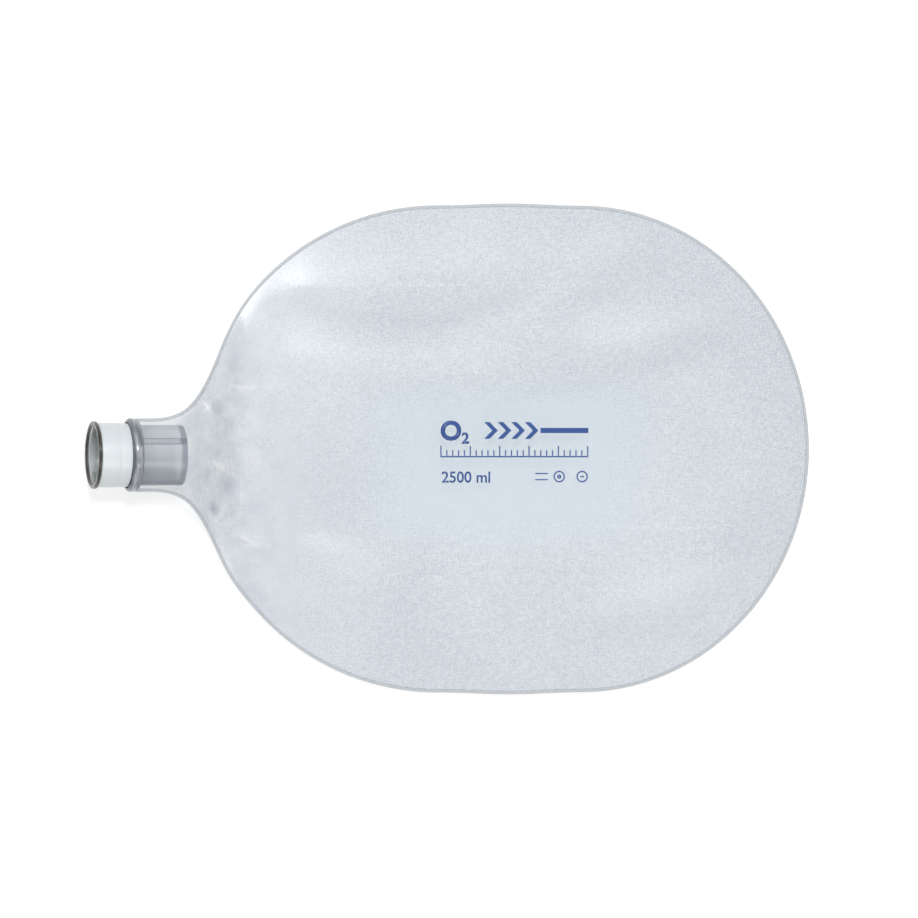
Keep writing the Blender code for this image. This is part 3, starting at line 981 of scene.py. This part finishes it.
def letters(text, left, base, height, weight=0.0):
    """Flat mesh of text in mm, with its capitals height tall."""
    curve = bpy.data.curves.new("letters", "FONT")
    curve.body = text
    curve.resolution_u = 4
    curve.offset = weight
    probe = bpy.data.objects.new("letters", curve)
    bpy.context.collection.objects.link(probe)
    bpy.context.view_layer.update()
    flat = bpy.data.meshes.new_from_object(probe.evaluated_get(bpy.context.evaluated_depsgraph_get()))
    shape = bmesh.new()
    shape.from_mesh(flat)
    size = height / 0.73
    for vertex in shape.verts:
        vertex.co = (left + vertex.co.x * size, base + vertex.co.y * size, 0)
    bpy.data.objects.remove(probe)
    bpy.data.meshes.remove(flat)
    return shape


def polygon(shape, points):
    shape.faces.new([shape.verts.new((x, y, 0)) for x, y in points])


def bar(shape, left, low, right, high):
    polygon(shape, ((left, low), (right, low), (right, high), (left, high)))


def chevron(shape, left, middle, size, weight):
    """An open arrowhead that points along +X."""
    tip = left + size
    polygon(
        shape,
        (
            (left, middle + size),
            (left + weight, middle + size),
            (tip + weight, middle),
            (left + weight, middle - size),
            (left, middle - size),
            (tip, middle),
        ),
    )


def ring(shape, centre, outer, inner, steps=40):
    angles = np.linspace(0, 2 * pi, steps, endpoint=False)
    x, y = centre
    rims = [
        [shape.verts.new((x + r * cos(a), y + r * sin(a), 0)) for a in angles]
        for r in (outer, inner)
    ]
    for i in range(steps):
        k = (i + 1) % steps
        shape.faces.new((rims[0][i], rims[0][k], rims[1][k], rims[1][i]))


def print_shapes():
    """Symbol and flow arrows, a graduated scale, and the volume with two plain signs, in mm."""
    first = letters("O", PRINT_LEFT, 4.3, 9.0, 0.035)
    second = letters("2", PRINT_LEFT + 10.2, 2.6, 5.2, 0.03)
    marks = bmesh.new()
    for number in range(4):
        chevron(marks, PRINT_LEFT + 21 + 6.5 * number, 8.6, 3.9, 2.6)
    bar(marks, PRINT_LEFT + 48, 7.4, PRINT_RIGHT, 9.8)
    bar(marks, PRINT_LEFT, -3.9, PRINT_RIGHT, -3.3)
    spacing = (PRINT_RIGHT - PRINT_LEFT - 0.6) / 25
    for number in range(26):
        tall = 4.6 if number % 5 == 0 else 2.6
        left = PRINT_LEFT + spacing * number
        bar(marks, left, -3.2, left + 0.55, -3.2 + tall)
    volume = letters("2500 ml", PRINT_LEFT + 0.5, -15.6, 5.3, 0.012)
    ring(marks, (PRINT_RIGHT - 3.0, -12.9), 2.7, 2.1)
    bar(marks, PRINT_RIGHT - 3.9, -13.2, PRINT_RIGHT - 2.1, -12.6)
    ring(marks, (PRINT_RIGHT - 14.0, -12.9), 2.7, 2.1)
    ring(marks, (PRINT_RIGHT - 14.0, -12.9), 1.0, 0.3)
    bar(marks, PRINT_RIGHT - 25.5, -14.6, PRINT_RIGHT - 19.5, -14.1)
    bar(marks, PRINT_RIGHT - 25.5, -11.7, PRINT_RIGHT - 19.5, -11.2)
    return first, second, marks, volume


def make_print(finish):
    """The marks as thin ink that follows the front film."""
    whole = bmesh.new()
    for part in print_shapes():
        flat = bpy.data.meshes.new("marks")
        part.to_mesh(flat)
        part.free()
        whole.from_mesh(flat)
        bpy.data.meshes.remove(flat)
    for axis, low, high in ((0, PRINT_LEFT, PRINT_RIGHT), (1, -16, 16)):
        for cut in np.arange(low + CUT_EVERY, high, CUT_EVERY):
            geometry = whole.verts[:] + whole.edges[:] + whole.faces[:]
            place = (cut, 0, 0) if axis == 0 else (0, cut, 0)
            normal = (1, 0, 0) if axis == 0 else (0, 1, 0)
            bmesh.ops.bisect_plane(whole, geom=geometry, plane_co=place, plane_no=normal)
    bmesh.ops.triangulate(whole, faces=whole.faces[:])
    flat = np.array([vertex.co[:2] for vertex in whole.verts])
    x = flat[:, 0] * MM
    share = np.abs(flat[:, 1] * MM - centre_y(x)) / half_width(x, FILM_INSET)
    heights = film_heights(True, x, share, flat) + INK_LIFT
    for vertex, height in zip(whole.verts, heights):
        vertex.co = (vertex.co.x * MM, vertex.co.y * MM, height)
    whole.normal_update()
    down = [face for face in whole.faces if face.normal.z < 0]
    bmesh.ops.reverse_faces(whole, faces=down)
    mesh = bpy.data.meshes.new("printed_marks")
    whole.to_mesh(mesh)
    whole.free()
    marks = link_object("printed_marks", mesh, finish)
    ink = marks.modifiers.new("ink", "SOLIDIFY")
    ink.thickness = INK
    ink.offset = -1
    return marks


# Camera, floor and light

FLOOR_HALF_SIZE = 30
FLOOR_DROP = 0.02 * MM
VIEW_TILT = radians(13.5)
CAMERA_DISTANCE = 12.0
FRAME_WIDTH = 428 * MM
LOOK_AT = Vector((5.2, -4.7, 2.5)) * MM


def make_camera():
    data = bpy.data.cameras.new("camera")
    data.sensor_width = 36.0
    data.lens = data.sensor_width / 2 / (FRAME_WIDTH / 2 / CAMERA_DISTANCE)
    data.clip_end = 80.0
    camera = bpy.data.objects.new("camera", data)
    bpy.context.collection.objects.link(camera)
    forward = Vector((sin(VIEW_TILT), 0, -cos(VIEW_TILT)))
    up = Vector((0, 1, 0))
    right = forward.cross(up)
    turn = Matrix((right, up, -forward)).transposed().to_4x4()
    camera.matrix_world = Matrix.Translation(LOOK_AT - forward * CAMERA_DISTANCE) @ turn
    bpy.context.scene.camera = camera


def make_floor():
    shape = bmesh.new()
    bmesh.ops.create_grid(shape, x_segments=1, y_segments=1, size=FLOOR_HALF_SIZE)
    mesh = bpy.data.meshes.new("floor")
    shape.to_mesh(mesh)
    shape.free()
    n = Nodes("floor")
    n.set(colour=(0.42, 0.42, 0.42), roughness=0.9, specular=0.0)
    n.shader.inputs["Emission Color"].default_value = (1, 1, 1, 1)
    n.shader.inputs["Emission Strength"].default_value = 0.64
    n.material.cycles.emission_sampling = "NONE"
    floor = link_object("floor", mesh, n.material)
    floor.location.z = -FLOOR_DROP


def make_light(name, place, aim, size, power):
    data = bpy.data.lights.new(name, "AREA")
    data.shape = "RECTANGLE"
    data.size, data.size_y = size
    data.energy = power
    lamp = bpy.data.objects.new(name, data)
    bpy.context.collection.objects.link(lamp)
    lamp.location = place
    lamp.rotation_euler = (Vector(aim) - Vector(place)).to_track_quat("-Z", "Y").to_euler()


def make_world():
    """White all round to the camera; for light, bright overhead and darker towards the horizon."""
    world = bpy.data.worlds.new("studio")
    bpy.context.scene.world = world
    world.use_nodes = True
    tree = world.node_tree
    background = tree.nodes["Background"]
    place = tree.nodes.new("ShaderNodeTexCoord")
    axes = tree.nodes.new("ShaderNodeSeparateXYZ")
    ramp = tree.nodes.new("ShaderNodeMapRange")
    path = tree.nodes.new("ShaderNodeLightPath")
    pick = tree.nodes.new("ShaderNodeMix")
    tree.links.new(place.outputs["Generated"], axes.inputs[0])
    tree.links.new(axes.outputs[2], ramp.inputs[0])
    for value, socket in zip((0.0, 0.75, 0.12, 0.55), ramp.inputs[1:5]):
        socket.default_value = value
    tree.links.new(path.outputs["Is Camera Ray"], pick.inputs["Factor"])
    tree.links.new(ramp.outputs[0], pick.inputs["A"])
    pick.inputs["B"].default_value = 1.0
    tree.links.new(pick.outputs["Result"], background.inputs["Strength"])
    background.inputs["Color"].default_value = (1, 1, 1, 1)


# Build


def build():
    bpy.context.scene.view_settings.view_transform = "Standard"
    make_camera()
    make_floor()
    make_world()
    make_light("key", (-1.0, 2.1, 5.5), (0, 0, 0), (1.5, 1.1), 200)
    make_light("fill", (0.5, -3.2, 4.8), (0, 0, 0), (1.6, 1.6), 62)

    film = film_material()
    front = make_film("bag_front", True, film, CUFF_LOW.x + 0.6 * MM)
    back = make_film("bag_back", False, film, CUFF_LOW.x + 0.6 * MM)
    margin = make_weld(weld_material(), rim_material(), CUFF_HIGH.x - 0.2 * MM)
    for piece in (front, back, margin):
        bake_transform(piece)
    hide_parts("front_film", "neck_front_film")
    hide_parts("back_film", "neck_back_film")
    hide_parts("edge_weld", "neck_weld_upper", "neck_weld_lower")

    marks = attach(make_print(ink_material()), "bag")
    stretch = stations(CUFF_LOW.x)
    cut = np.trapz(2 * half_width(stretch, FILM_INSET), stretch)
    cut += pi / 2 * (RIGHT_REACH - FILM_INSET) * (END_HALF_WIDTH - FILM_INSET)

    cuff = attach(make_cuff(cuff_material()), "neck")
    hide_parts("neck_cuff")
    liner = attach(make_liner(liner_material()), "neck")
    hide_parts("neck_liner")
    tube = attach(make_mouth_tube(tube_material()), "connector")
    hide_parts("mouth_tube")
    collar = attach(make_collar(collar_material()), "collar")
    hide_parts("collar_ring")


build()
